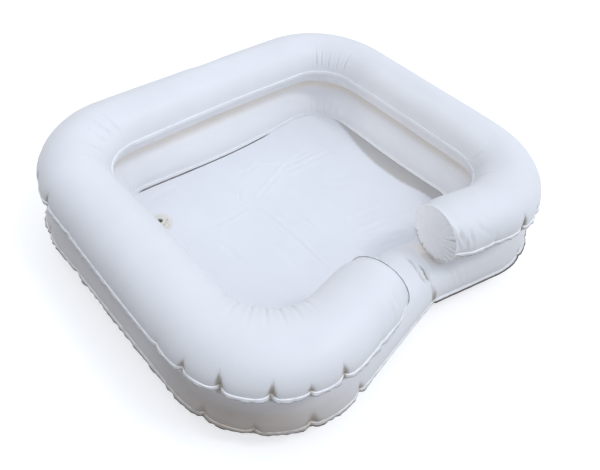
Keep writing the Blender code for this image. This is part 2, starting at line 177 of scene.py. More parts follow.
def rough(x, y, z, size):
    """Gentle random unevenness from -1 to 1, over lumps of about that size."""
    return noise.noise(Vector((x, y, z)) / size)


def ways_along(line):
    """How far along a line each of its points lies."""
    ways = [0.0]
    for a, b in zip(line, line[1:]):
        ways.append(ways[-1] + (b - a).length)
    return ways


def several(kind, *each):
    """A list of things of one kind, each from its own numbers."""
    return [kind(*numbers) for numbers in each]


# Camera, light and stage


def camera():
    back = Vector((math.sin(CAMERA_TURN), -math.cos(CAMERA_TURN), 0)) * math.cos(CAMERA_RISE)
    back.z = math.sin(CAMERA_RISE)
    level = Vector((0, 0, 1)).cross(back).normalized()
    upright = back.cross(level)
    right = level * math.cos(CAMERA_ROLL) + upright * math.sin(CAMERA_ROLL)
    up = upright * math.cos(CAMERA_ROLL) - level * math.sin(CAMERA_ROLL)
    data = bpy.data.cameras.new("camera")
    data.sensor_width = 36
    data.lens = CAMERA_LENS
    made = bpy.data.objects.new("camera", data)
    bpy.context.scene.collection.objects.link(made)
    place = Matrix((right, up, back)).transposed().to_4x4()
    place.translation = CAMERA_PLACE
    made.matrix_world = place
    bpy.context.scene.camera = made


def key_light():
    """A weak, soft sun from the front right."""
    data = bpy.data.lights.new("key", "SUN")
    data.energy = 0.5
    data.angle = KEY_SPREAD
    data.color = KEY_TONE
    made = bpy.data.objects.new("key", data)
    towards = Vector((math.cos(KEY_TURN), math.sin(KEY_TURN), 0)) * math.cos(KEY_RISE)
    towards.z = math.sin(KEY_RISE)
    made.rotation_mode = "QUATERNION"
    made.rotation_quaternion = towards.to_track_quat("Z", "Y")
    bpy.context.scene.collection.objects.link(made)


def world():
    """A soft sky, cool overhead and warmer low down, with plain white behind the basin."""
    made = bpy.data.worlds.new("studio")
    bpy.context.scene.world = made
    made.use_nodes = True
    sky = Nodes(made.node_tree)
    east, north, height = sky.split(sky.node("TexCoord", output="Generated"))
    colour = sky.blend((height - north * 0.25).between(-0.3, 0.7), LOW_SKY, HIGH_SKY)
    dim = (east * -0.97 + north * 0.1 - height * 0.15).between(0.3, 0.9)
    colour = sky.blend(dim * 0.75, colour, DIM_SKY)
    soft = sky.node("Background", {"Color": colour, "Strength": 1.0})
    white = sky.node("Background", {"Color": WHITE, "Strength": 1.0})
    either = sky.node("MixShader", (sky.node("LightPath", output="Is Camera Ray"), soft, white))
    sky.join(made.node_tree.nodes["World Output"].inputs["Surface"], either)


def studio_floor():
    """A wide pale floor that the camera and mirrors see as white, with the basin's shadow on it."""
    bm = bmesh.new()
    bmesh.ops.create_grid(bm, x_segments=8, y_segments=8, size=12)
    bmesh.ops.translate(bm, verts=bm.verts, vec=(0, 0, -0.5 * MM))
    finish = Finish("pale_floor")
    rays = ("Is Camera Ray", "Is Glossy Ray", "Is Transmission Ray")
    seen = sum(finish.node("LightPath", output=ray) for ray in rays).between(0, 1)
    finish.set(Base_Color=finish.blend(seen, STAGE_TONE, STAGE_SEEN), Roughness=0.9)
    finish.set(Emission_Color=finish.blend(seen, BLACK, WHITE), Emission_Strength=0.56)
    made = new_object("studio_floor", bm, finish.material)


def new_object(name, bm, finish):
    mesh = bpy.data.meshes.new(name)
    bm.to_mesh(mesh)
    bm.free()
    mesh.shade_smooth()
    mesh.materials.append(finish)
    made = bpy.data.objects.new(name, mesh)
    bpy.context.scene.collection.objects.link(made)
    return made


def dress(made, nodes, body):
    """Puts a piece in the place of its solids."""
    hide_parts(*nodes)
    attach(made, body)


# Finishes


class Signal:
    """A node's output that can be used in plain sums."""

    def __init__(self, nodes, socket):
        self.nodes = nodes
        self.socket = socket

    def maths(self, operation, *values):
        return self.nodes.node("Math", values, operation=operation)

    def __add__(self, other):
        return self.maths("ADD", self, other)

    __radd__ = __add__

    def __sub__(self, other):
        return self.maths("SUBTRACT", self, other)

    def __rsub__(self, other):
        return self.maths("SUBTRACT", other, self)

    def __mul__(self, other):
        return self.maths("MULTIPLY", self, other)

    __rmul__ = __mul__

    def between(self, low, high):
        """0 below low, 1 above high, and a smooth step between them."""
        values = {"Value": self, "From Min": low, "From Max": high}
        return self.nodes.node("MapRange", values, interpolation_type="SMOOTHSTEP", clamp=True)


class Nodes:
    """A node tree that is put together from expressions."""

    def __init__(self, tree):
        self.tree = tree

    def node(self, kind, values=(), output=0, **settings):
        """One output of a new node, made with its settings and with values on its sockets."""
        made = self.tree.nodes.new(f"ShaderNode{kind}")
        for key, value in settings.items():
            setattr(made, key, value)
        pairs = values.items() if isinstance(values, dict) else enumerate(values)
        for key, value in pairs:
            self.join(made.inputs[key], value)
        return Signal(self, made.outputs[output])

    def join(self, socket, value):
        if isinstance(value, Signal):
            self.tree.links.new(value.socket, socket)
        elif isinstance(value, tuple) and socket.type == "RGBA":
            socket.default_value = (*value, 1)
        else:
            socket.default_value = value

    def blend(self, share, first, second):
        """A colour between two others."""
        return self.node("Mix", {0: share, 6: first, 7: second}, output=2, data_type="RGBA")

    def split(self, vector):
        """The three parts of a vector."""
        return [self.node("SeparateXYZ", {"Vector": vector}, output=axis) for axis in "XYZ"]


class Finish(Nodes):
    """A material that is put together from nodes."""

    def __init__(self, name):
        self.material = bpy.data.materials.new(name)
        self.material.use_nodes = True
        super().__init__(self.material.node_tree)
        self.shader = self.tree.nodes["Principled BSDF"]

    def set(self, **values):
        """Sets the shader's own sockets; an underscore in a name stands for a space."""
        for key, value in values.items():
            self.join(self.shader.inputs[key.replace("_", " ")], value)

    def place(self):
        return self.node("TexCoord", output="Object")

    def mask(self, name):
        return self.node("Attribute", output="Fac", attribute_name=name)

    def cloud(self, scale, detail=3.0, roughness=0.5):
        values = {"Vector": self.place(), "Scale": scale, "Detail": detail, "Roughness": roughness}
        return self.node("TexNoise", values)

    def bump(self, height, distance, strength=1.0, under=None):
        values = {"Height": height, "Distance": distance, "Strength": strength}
        if under:
            values["Normal"] = under
        return self.node("Bump", values)


def vinyl(name, white, floor=False):
    """Matt sheet vinyl with a fine leathery grain, marked as the rings or the floor are, with painted shade,
    painted highlights and painted glow among the marks.
    """
    finish = Finish(name)
    grain = finish.cloud(1500, 2)
    peel = finish.cloud(240, 3)
    patches = finish.cloud(9, 4, 0.6)
    ragged = finish.cloud(170, 4, 0.6)
    smudges = finish.cloud(34, 6, 0.7).between(0.62, 0.86)
    greyer = tuple(c * 0.965 for c in white)
    colour = finish.blend(patches.between(0.3, 0.7), greyer, white)
    colour = finish.blend(smudges * 0.1, colour, SMUDGE)
    dull = patches * 0.1 + grain * 0.06 + 0.36
    skin = finish.bump(peel * 0.6 + grain * 0.4, 0.12 * MM, 0.5)
    if floor:
        colour = floor_painted_shadows(finish, colour, ragged)
    else:
        colour = ring_marks(finish, colour, patches, ragged)
        weld = finish.mask("weld")
        values = {"Vector": finish.node("UVMap"), "Scale": 260.0, "Distortion": 0.4}
        ribs = finish.node("TexWave", values, output="Fac", wave_type="BANDS", bands_direction="X")
        skin = finish.bump(ribs * weld, 0.2 * MM, 0.5, skin)
        dull = dull - weld * 0.08
        # Painted light: the weld beads glow as a painted highlight, and the painted glow mark lights the
        # shaded right side and contact lines.
        glow = finish.mask("bead_highlight").between(0.45, 1) * finish.cloud(110, 3, 0.6).between(0.36, 0.56)
        glow = glow + finish.mask("painted_glow") * 0.4
        finish.set(Emission_Color=finish.blend(glow, BLACK, PAINTED_GLOW_TONE), Emission_Strength=0.28)
    finish.set(Base_Color=colour, Roughness=dull, Normal=skin)
    finish.set(IOR=1.5, Specular_IOR_Level=0.42)
    return finish.material


def ring_marks(finish, colour, patches, ragged):
    """Painted highlights on weld beads, painted shade in folds and where sheets touch, a darker outer wash,
    and grime with painted shade on the hanging margins.
    """
    bead_highlight = finish.mask("bead_highlight").between(0.2, 0.9) * 0.8
    fold = (finish.mask("fold") + ragged * 0.3).between(0.2, 1.0) * 0.88
    contact_shade = (finish.mask("contact_shade") + ragged * 0.2).between(0.3, 1.2) * 0.42
    film = finish.mask("film") * (patches * 0.5 + 0.75) * 0.74
    grime_and_shade = (finish.mask("grime_and_shade") + ragged * 0.7).between(0.5, 1.25) * 0.95
    tones = (BEAD_HIGHLIGHT_WHITE, FOLD_SHADE_BROWN, CONTACT_SHADE_BEIGE, OUTER_DARKENING, MARGIN_GRIME_AND_SHADE)
    for share, tone in zip((bead_highlight, fold, contact_shade, film, grime_and_shade), tones):
        colour = finish.blend(share, colour, tone)
    return colour


def floor_painted_shadows(finish, colour, ragged):
    """Painted shadows on the floor: a dark painted contact shadow by the back wall, and a painted cast
    shadow in a strip by the right one.
    """
    across, along, _ = finish.split(finish.place())
    wander = finish.cloud(18, 2) * (3 * MM) - 1.5 * MM
    from_back = wall_gap(BOWL_Y, 2, along, across * (1 / BOWL_X)) + wander
    ends = across.between(-0.218, -0.192) * (1 - across.between(0.06, 0.12))
    # Painted contact shadow along the foot of the back wall.
    line = from_back.between(-1.8 * MM, -0.6 * MM) * (1 - from_back.between(1.6 * MM, 3.0 * MM)) * ends
    colour = finish.blend((line + line * ragged).between(0.4, 1.2) * 0.92, colour, BACK_WALL_SHADOW_LINE)
    # Painted cast shadow of the right wall, wider to the front.
    wide = 32 * MM - (along + 20 * MM).between(0, 180 * MM) * (28 * MM)
    wide = wide - (1 - along.between(-120 * MM, -60 * MM)) * (8 * MM)
    from_right = wall_gap(BOWL_X, 1, across, along * (1 / BOWL_Y))
    shadow_strip = 1 - (from_right - wide + ragged * (6 * MM)).between(-3 * MM, 6 * MM)
    return finish.blend(shadow_strip * 0.8, colour, RIGHT_WALL_SHADOW_STRIP)


def wall_gap(reach, side, towards, along):
    """How far a point lies from the foot of one wall, which bows inward."""
    bow = (1 - along * along).maths("MAXIMUM", 1 - along * along, 0)
    return reach - FLOOR_PULLS[side] - bow * bow * FLOOR_BOWS[side] - towards


def moulded(name, tone, shade, roughness, clear=0.0):
    """Soft moulded PVC with a faint flow pattern, and painted shade where it is marked."""
    finish = Finish(name)
    flow = finish.cloud(60, 4, 0.6)
    grain = finish.cloud(900, 2)
    colour = finish.blend(flow.between(0.35, 0.75) * 0.4, tone, shade)
    # Painted shade where marked: inside the hollow of the drain stopper.
    colour = finish.blend(finish.mask("grime_and_shade") * 0.9, colour, PLUG_HOLLOW_SHADE)
    finish.set(Base_Color=colour, Roughness=grain * 0.1 + roughness)
    finish.set(Normal=finish.bump(flow * 0.6 + grain * 0.4, 0.08 * MM, 0.4))
    finish.set(IOR=1.53, Specular_IOR_Level=0.5, Transmission_Weight=clear)
    return finish.material


# Plan of the rings


class Side:
    """A straight side of the basin in plan: the way out from it, and how far out it lies."""

    def __init__(self, angle, reach=0.0):
        self.angle = angle
        self.reach = reach
        self.out = Vector((math.cos(angle), math.sin(angle)))
        self.along = Vector((-self.out.y, self.out.x))

    def moved(self, offset):
        return Side(self.angle, self.reach + offset)

    def through(self, point):
        return Side(self.angle, self.out.dot(point))

    def meet(self, other):
        turn = self.out.x * other.out.y - self.out.y * other.out.x
        x = (self.reach * other.out.y - other.reach * self.out.y) / turn
        y = (self.out.x * other.reach - other.out.x * self.reach) / turn
        return Vector((x, y))

    def point_at_x(self, x):
        return Vector((x, (self.reach - self.out.x * x) / self.out.y))


def front_slope(side):
    """The angle by which one half of the front runs back from its corner to the notch."""
    corner = Vector((BOWL_X - BOWL_CORNER, BOWL_CORNER - BOWL_Y))
    tip = Vector((side * NOTCH_X, NOTCH_DEPTH - BASIN_DEPTH / 2 - NOTCH_TIP))
    across = corner - tip
    reach = BOWL_CORNER + LOWER_WIDTH + NOTCH_TIP
    return math.asin(reach / across.length) - math.atan2(across.y, across.x)


def basin_sides(offset, pulls=(0,) * 5):
    """The five sides in turn from the right of the notch, moved out by offset, less the pulls."""
    quarter = math.pi / 2
    spread = BOWL_CORNER + LOWER_WIDTH
    centre_x, centre_y = BOWL_X - BOWL_CORNER, BOWL_CORNER - BOWL_Y
    front_right = Side(-quarter - front_slope(1)).through(Vector((centre_x, centre_y)))
    front_left = Side(3 * quarter + front_slope(-1)).through(Vector((-centre_x, centre_y)))
    sides = (
        front_right.moved(spread),
        Side(0, BASIN_WIDTH / 2),
        Side(quarter, BASIN_DEPTH / 2),
        Side(2 * quarter, BASIN_WIDTH / 2),
        front_left.moved(spread),
    )
    return [side.moved(offset - pull) for side, pull in zip(sides, pulls)]


def fillet(before, after, radius, steps):
    """Points round the corner between two sides; a negative radius turns the other way."""
    start = before.angle
    if start - after.angle > math.pi:
        start -= 2 * math.pi
    centre = before.moved(-radius).meet(after.moved(-radius))
    turns = [start + (after.angle - start) * i / steps for i in range(steps + 1)]
    return [centre + Vector((math.cos(a), math.sin(a))) * radius for a in turns]


def inner_line(offset):
    """The line in plan along the lower ring's inner weld, which the floor pulls in and bows."""
    sides = basin_sides(offset, FLOOR_PULLS)
    line = ring_outline(sides, INNER_CORNER, NOTCH_TIP - offset)
    return [bowed(point, sides, FLOOR_BOWS) for point in line]


def bowed(point, sides, bows):
    """Moves a point in where it lies on a side that bows."""
    for side, bow in zip(sides, bows):
        along = side.along.dot(point) / (BOWL_Y if side.out.x else BOWL_X)
        if bow and abs(along) < 1:
            near = 1 - smooth((side.reach - side.out.dot(point)) / (20 * MM))
            point = point - side.out * (bow * near * (1 - along * along) ** 2)
    return point


def leaned(point):
    """The upper ring's left side leans in towards the back."""
    share = smooth((-point.x - 0.2) / 0.1) * smooth((point.y + 0.1) / 0.3)
    return Vector((point.x + UPPER_LEFT_LEAN * share, point.y))


def ring_outline(sides, corner, tip, ends=None):
    """A ring's line in plan, round its corners. With ends it stops at those two points."""
    front_right, front_left = sides[0], sides[4]
    runs = [fillet(before, after, corner, CORNER_STEPS) for before, after in zip(sides, sides[1:])]
    if ends:
        runs = [[ends[1]], *runs, [ends[0]]]
        steps = (FRONT_RIGHT_STEPS, *SIDE_STEPS, FRONT_LEFT_STEPS)
    else:
        runs += [fillet(front_left, front_right, -tip, TIP_STEPS), runs[0][:1]]
        steps = (*SIDE_STEPS, FRONT_LEFT_STEPS, FRONT_RIGHT_STEPS)
    line = list(runs[0])
    for count, run in zip(steps, runs[1:]):
        start = line[-1]
        line += [start.lerp(run[0], i / count) for i in range(1, count)]
        line += run
    return line


def valve_place(x, width, height, rise):
    """A frame on the back of a ring, with +Z out of the tube and X along it."""
    half = width / 2 - WELD
    y = BOWL_Y + width / 2 + half * math.cos(VALVE_TILT)
    point = Vector((x, y, height + rise * math.sin(VALVE_TILT)))
    return Matrix.Translation(point) @ Matrix.Rotation(VALVE_TILT - math.pi / 2, 4, "X")


# Gathers and wrinkles


class Gather:
    """A place on an outer weld where the sheets are tucked, and the folds that run from it."""

    def __init__(self, place, draw, length=24.0, width=4.0):
        chance = random.Random(round(place * 7))
        self.place = place * MM
        self.draw = draw * MM
        self.length = length * MM
        self.width = width * MM
        self.before = chance.uniform(4.5, 7.5) * MM
        self.after = chance.uniform(3.5, 6.0) * MM
        self.lean = chance.uniform(-2.5, 2.5) * MM
        self.under = chance.uniform(0.6, 1.1)
        self.mark = smooth(self.draw / (5 * MM))

    def drawn(self, away):
        side = self.before if away < 0 else self.after
        return self.draw * math.exp(-(abs(away / side) ** 1.15))

    def fold(self, away, round_way, side):
        """The depth of the fold at a point, and how much painted shade it carries there."""
        length = self.length * (1 if side > 0 else self.under)
        share = max(0.0, 1 - round_way / length)
        width = self.width * (0.4 + 0.6 * share)
        across = abs(away - self.lean * (1 - share)) / width
        valley = math.exp(-(across**1.6))
        dark = smooth(1.35 - round_way / (1.25 * length)) * math.exp(-((across * 0.6) ** 2))
        return 0.4 * self.draw * share**0.7 * valley, dark * self.mark

    def notch(self, away):
        """How much painted shade the tuck itself carries, on the margin."""
        return self.mark * math.exp(-((away / (1.8 * MM)) ** 2))


class Wrinkle:
    """A crease over a corner: place round the outer weld, first and last angle over the tube."""

    def __init__(self, place, start, end, depth=1.2, width=4.0, lean=0.0):
        self.place = place * MM
        self.start = math.radians(start)
        self.end = math.radians(end)
        self.depth = depth * MM
        self.width = width * MM
        self.lean = lean * MM

    def depth_at(self, away, turn):
        if not min(self.start, self.end) < turn < max(self.start, self.end):
            return 0.0
        way = (self.start - turn) / (self.start - self.end)
        strength = smooth(way * 5) * (1 - smooth(way * 1.1 - 0.1))
        across = (away - self.lean * way * way) / self.width
        if abs(across) > 4:
            return 0.0
        raised = math.exp(-(((abs(across) - 1.7) / 0.9) ** 2))
        return self.depth * strength * (math.exp(-across * across) - 0.45 * raised)


class Crease:
    """A fold along points in plan, pressed in by its depth; a negative depth stands it up."""

    def __init__(self, points, depth, width, lip=0.0, painted_shade=0.0):
        self.points = [Vector(point) * MM for point in points]
        self.depth = depth * MM
        self.width = width * MM
        self.lip = lip
        self.painted_shade = painted_shade
        self.reach = self.width * 5
        self.ways = ways_along(self.points)

    def depth_at(self, spot):
        """How far the sheet is pressed in at a spot, and how much painted shade it carries there."""
        best, way, hand = self.reach, 0.0, 1
        for i, (a, b) in enumerate(zip(self.points, self.points[1:])):
            run = b - a
            share = min(1.0, max(0.0, (spot - a).dot(run) / run.length_squared))
            away = (spot - a.lerp(b, share)).length
            if away < best:
                best = away
                way = (self.ways[i] + run.length * share) / self.ways[-1]
                hand = 1 if run.cross(spot - a) > 0 else -1
        if best >= self.reach:
            return 0.0, 0.0
        strength = smooth(way * 4) * smooth((1 - way) * 4)
        across = best / self.width
        valley = math.exp(-(across**1.5))
        raised = math.exp(-(((across - 1.6) / 0.8) ** 2)) * (1.3 if hand > 0 else 0.7)
        # Painted shade along the crease.
        dark = self.painted_shade * strength * math.exp(-((across * 1.2) ** 2))
        return self.depth * strength * (valley - self.lip * raised), dark


# Place round the weld, how far the sheets are drawn in, and the fold's length and width
UPPER_GATHERS = several(
    Gather,
    *((-30, 1.5, 9), (34, 6.5, 26), (82, 4, 18), (133, 6, 24), (187, 6, 26), (240, 4, 20)),
    *((592, 4, 20), (645, 6, 26), (702, 6, 26), (758, 5, 22), (806, 4, 20)),
    *((1222, 4, 20), (1281, 6, 26), (1338, 6, 24), (1394, 5, 22), (1443, 5, 22), (1509, 1.5, 10)),
    *((1726, 2, 12), (1772, 5, 20), (1823, 7.5, 30), (1883, 7, 28)),
    *((1930, 3.5, 18), (1976, 6, 26), (2046, 1, 8)),
)
LOWER_GATHERS = several(
    Gather,
    *((65, 3, 17, 5), (118, 2.5, 14, 5), (180, 3.5, 17, 5), (243, 3, 15, 5)),
    *((610, 3, 15, 5), (672, 3.5, 18, 5), (733, 3.5, 18, 5), (800, 3, 15, 5)),
    *((1250, 3, 15, 5), (1312, 3.5, 18, 5), (1378, 3.5, 18, 5), (1438, 3.5, 17, 5), (1528, 2, 10, 4)),
    *((1828, 4.2, 21, 7), (1895, 4.4, 17, 6), (1968, 4.6, 24, 8), (2050, 4.2, 20, 6)),
)

# Place, first and last angle, depth, width and lean, corner by corner and then at the ends
UPPER_WRINKLES = several(
    Wrinkle,
    *((207, 172, 108, 1.6, 4.5, 6), (150, 172, 130, 0.9, 3.5), (91, 170, 92, 1.5, 4.5, -6)),
    *((622, 168, 104, 2.0, 4.0, -4), (655, 170, 118, 1.7, 3.5), (690, 172, 122, 1.8, 3.5)),
    *((720, 172, 112, 1.8, 3.5), (740, 170, 108, 2.1, 3.5, 3)),
    *((1240, 152, 78, 1.7, 4.0), (1268, 152, 70, 2.0, 4.0, 4), (1300, 152, 76, 1.8, 3.5)),
    *((1345, 152, 72, 2.0, 4.0, -3), (1385, 152, 78, 1.5, 4.0)),
    *((1762, 168, 94, 1.5, 4.0, 5), (1800, 170, 88, 1.9, 4.2), (1838, 172, 84, 2.2, 4.2)),
    *((1872, 172, 84, 2.2, 4.0), (1905, 172, 86, 2.2, 4.0), (1938, 170, 88, 1.9, 4.2)),
    *((1975, 168, 94, 1.5, 4.2, -5), (-103, 66, 4, 3.4, 3.0, 16), (-97, 30, 2, 2.4, 2.0, 6)),
    *((-92, 52, 4, 2.8, 3.0, 10), (-84, 34, 2, 2.0, 2.2, 3), (-76, 46, 3, 1.8, 3.2, 4)),
    *((-60, 58, 8, 1.3, 4.0, 40), (-50, 44, 10, 0.9, 3.5, 45)),
    *((2092, 60, 6, 1.4, 3.2, -12), (2078, 46, 4, 1.0, 3.2, -8)),
)
LOWER_WRINKLES = several(
    Wrinkle,
    *((110, 172, 128, 1.2, 4.0), (170, 172, 124, 1.4, 4.0)),
    *((640, 172, 126, 1.4, 3.6), (672, 172, 122, 1.5, 3.6), (700, 172, 124, 1.6, 3.6)),
    *((728, 172, 122, 1.6, 3.6), (756, 172, 124, 1.4, 3.6)),
    *((1290, 172, 126, 1.3, 4.0), (1350, 172, 126, 1.3, 4.0), (1400, 172, 126, 1.2, 4.0)),
    *((1850, 172, 126, 1.3, 4.0), (1910, 172, 124, 1.3, 4.0)),
    *((-91, 64, 10, 1.2, 3.4, 4), (-78, 52, 6, 0.9, 3.4, 2), (-62, 46, 6, 0.7, 4.0, 2)),
)

# Points in plan in mm, depth, width, raised lip and painted shade
NECK_CREASES = several(
    Crease,
    ([(25, -206), (25, -225), (22, -238), (20, -251), (25, -268)], 3.6, 3.0, 0.5, 0.45),
    ([(31, -234), (29, -245), (27, -254), (28, -262)], 5.0, 1.9, 0.6, 1.3),
    ([(28, -262), (30, -272), (29, -281)], 2.4, 3.0, 0.4, 0.5),
    ([(38, -246), (36, -256), (34, -268)], 1.6, 2.4, 0.5, 0.2),
    ([(14, -228), (10, -242), (12, -256)], 1.2, 3.0, 0.4, 0.1),
)

# How far out over a margin its columns lie, and the step by which its curl is followed, in mm
MARGIN_OUTS = (0.4, 0.9, 1.5, 2.2, 3.0, 4.0, 5.0, 6.0)
MARGIN_STEP = 0.2


def tube_columns():
    """The columns of a ring's sheet from its outer edge to its inner one, as (turn, out)."""
    turns = [math.radians(3 * i) for i in range(9)]
    turns += [math.radians(24 + 6 * i) for i in range(1, 27)]
    columns = [(0.0, out) for out in reversed(MARGIN_OUTS)]
    columns += [(turn, 0.0) for turn in turns]
    columns += [(math.pi, -out) for out in MARGIN_OUTS]
    return columns


COLUMNS = tube_columns()


def margin_path(curl, lip):
    """Where a margin that hangs down from its lip runs: (out, down, angle) for each of its columns."""
    path, out, down, way = {}, 0.0, 0.0, 0.0
    for stop in MARGIN_OUTS:
        while way < stop - MARGIN_STEP / 2:
            angle = curl * smooth((way - lip * 0.5) / lip)
            out += MARGIN_STEP * math.cos(angle)
            down += MARGIN_STEP * math.sin(angle)
            way += MARGIN_STEP
        path[stop] = (out * MM, down * MM, curl * smooth((stop - lip * 0.5) / lip))
    return path


def end_points(offset, width, swells, ends):
    """The outer and inner points at the open ring's two ends, square across the front."""
    middle = basin_sides(offset - width / 2)
    outer, inner = [], []
    for index, end_x in ((4, ends[0]), (0, ends[1])):
        side = middle[index]
        point = side.point_at_x(end_x)
        outer.append(point + side.out * (width / 2 + swells[index]))
        inner.append(point - side.out * (width / 2))
    return outer, inner


class Ring:
    """One air ring: the lines of its two welds, and everything that bends its sheets."""

    def __init__(self, width, height, valve_x, swells, gathers, wrinkles, ends=None):
        self.height = height
        self.tube = width / 2 - WELD
        self.valve = valve_place(valve_x, width, height, CROWN_RISE if ends else RING_RISE)
        self.from_valve = self.valve.inverted()
        self.gathers = gathers
        self.wrinkles = wrinkles
        self.open = bool(ends)
        self.creases = [] if ends else NECK_CREASES
        offset = width - LOWER_WIDTH
        outer_sides = basin_sides(offset, [-swell for swell in swells])
        corner = BOWL_CORNER + LOWER_WIDTH + offset
        if ends:
            outer_ends, inner_ends = end_points(offset, width, swells, ends)
            line = ring_outline(outer_sides, corner, NOTCH_TIP, outer_ends)
            self.outer = [leaned(point) for point in line]
            inner_sides = basin_sides(offset - width)
            line = ring_outline(inner_sides, INNER_CORNER, NOTCH_TIP, inner_ends)
            self.inner = [bowed(point, inner_sides, UPPER_INNER_BOWS) for point in line]
        else:
            self.outer = ring_outline(outer_sides, corner - LOWER_TIGHTENING, NOTCH_TIP)
            self.inner = inner_line(offset - width)
        ways = ways_along(self.outer)
        self.total = ways[-1]
        lead = ways[FRONT_RIGHT_STEPS] if ends else 0.0
        self.places = [way - lead for way in ways]
        self.first, self.last = self.places[0], self.places[-1]

    def outer_margin(self, place, spot):
        """How far the outer margin curls down, the lip before it does, and where its grime and painted shade
        start.
        """
        front = smooth((-0.2 - spot.y) / (20 * MM))
        right = 0.0 if self.open else smooth((spot.x - NOTCH_X) / (14 * MM)) * front
        tucked = 0.85 * front * smooth((spot.x + 0.13) / 0.04) * smooth((NOTCH_X - spot.x) / (10 * MM))
        if self.open:
            back_left = smooth((110 * MM - abs(place - 1345 * MM)) / (40 * MM))
            tucked = max(tucked, back_left)
        curl = 76 - 46 * right + 16 * rough(place, 1.7, self.height, 46 * MM)
        curl += 30 * rough(place, 5.1, self.height, 7 * MM)
        curl += (90 - curl) * tucked
        return math.radians(min(90.0, curl)), 0.8 + 0.7 * right - 0.5 * tucked, 0.54 - 0.12 * right

    def darkening_and_glow(self, outer, middle):
        """How much darker a row is outside, its painted shade by the notch, and its painted glow."""
        # Painted glow on the right side and its inner walls, which lifts their shade.
        painted_glow = smooth((middle.x - 0.26) / 0.04) * (0.65 if self.open else 0.9)
        painted_glow *= 1 - 0.5 * smooth((middle.y - 0.06) / 0.08)
        if self.open:
            return 0.0, 0.0, painted_glow
        # A darker, browner wash on the outer faces of the lower ring, strongest at the front-left corner.
        front_left = Vector((-0.28, -0.21))
        outer_darkening = 0.3 + 0.92 * smooth(1 - (middle - front_left).length / 0.15)
        outer_darkening *= 1 - 0.85 * smooth((middle.x + 0.21) / 0.12)
        outer_darkening += 0.15 * smooth((middle.x - 0.05) / 0.05)
        # Painted shade by the tip of the notch, low on the outer side.
        notch_shade = 0.0
        if outer.y < -0.2:
            notch_shade = 0.75 * math.exp(-(((outer.x - NOTCH_X - 5 * MM) / (6 * MM)) ** 2))
        return outer_darkening, notch_shade, painted_glow

    def away(self, place, other):
        """How far a place is from another, the short way round where the ring is closed."""
        gap = place - other
        if not self.open:
            gap = (gap + self.total / 2) % self.total - self.total / 2
        return gap

    def free(self, spot):
        """1 where nothing presses on the lower ring between the ends of the upper one."""
        if self.open or spot.y > -0.1:
            return 0.0
        left = smooth((spot.x - LEFT_END_X - CAP_CLEARANCE - 2 * MM) / (16 * MM))
        right = smooth((RIGHT_END_X - CAP_CLEARANCE - 2 * MM - spot.x) / (16 * MM))
        return left * right

    def folds(self, place):
        """The gathers and wrinkles that reach a place, each with how far away it is."""
        gathers = [(g, self.away(place, g.place)) for g in self.gathers]
        wrinkles = [(w, self.away(place, w.place)) for w in self.wrinkles]
        return (
            [(g, away) for g, away in gathers if abs(away) < 40 * MM],
            [(w, away) for w, away in wrinkles if abs(away) < 60 * MM],
        )

    def pressed(self, gathers, wrinkles, turn, round_way, side, spot):
        """How far the folds press the sheet in at a point, and how much painted shade they put there."""
        depth = dark = 0.0
        for gather, away in gathers:
            pressed, shade = gather.fold(away, round_way, side)
            depth += pressed
            dark = max(dark, shade)
        for wrinkle, away in wrinkles:
            pressed = wrinkle.depth_at(away, turn) * (1 if side > 0 else 0.4)
            depth += pressed
            dark = max(dark, 0.16 * pressed / MM)
        if side > 0 and 0 < turn < 2.4:
            for crease in self.creases:
                if abs(spot.x - crease.points[0].x) < 40 * MM:
                    pressed, shade = crease.depth_at(spot)
                    depth += pressed
                    dark = max(dark, shade)
        return depth, dark

    def section(self, row, side, rise, flat):
        """The points across one sheet at a row, each with the strength of its marks."""
        outer, inner = self.outer[row], self.inner[row]
        place = self.places[row]
        middle = (outer + inner) / 2
        across = (outer - inner).normalized()
        half = (outer - inner).length / 2
        outer_root = half - WELD + DROOP_REACH
        inner_root = half - WELD + (DROOP_REACH if self.open else 0.0)
        gathers, wrinkles = self.folds(place)
        drawn = sum(gather.drawn(away) for gather, away in gathers)
        to_end = min(place - self.first, self.last - place) if self.open else 1.0
        taper = 1 - 0.05 * (1 - smooth(to_end / (26 * MM)))
        narrow = 1 - 0.13 * (1 - smooth(to_end / (34 * MM)))
        margin = smooth((to_end + 3 * MM) / (16 * MM))
        free = self.free(middle)
        sag = 0.0 if self.open else FLOOR_DROP * smooth((middle.y - 0.05) / 0.15)
        outer_darkening, notch_shade, painted_glow = self.darkening_and_glow(outer, middle)
        curl, lip, darkened = self.outer_margin(place, middle)
        outer_path = margin_path(curl, lip)
        inner_curl = math.radians(72 + 14 * rough(place, 7.7, self.height, 40 * MM)) if self.open else 0.0
        inner_path = margin_path(inner_curl, 0.8)
        level = (flat - SHEET / 2) * (1 - free) + (flat + 5 * MM) * free
        points = []
        for turn, out in COLUMNS:
            root = outer_root if turn < math.pi / 2 else inner_root
            round_way = turn * root
            reach = (root - SHEET / 2) * math.cos(turn) * narrow
            lift = (rise - SHEET / 2) * math.sin(turn) * taper
            depth, dark = self.pressed(gathers, wrinkles, turn, round_way, side, middle + across * reach)
            marks = dict.fromkeys(MARKS, 0.0)
            # The darker wash on the outer faces.
            marks["film"] = outer_darkening * smooth((1.15 - turn) / 0.7)
            # Painted glow on the inner half.
            marks["painted_glow"] = painted_glow * smooth((turn - 1.7) / 0.5)
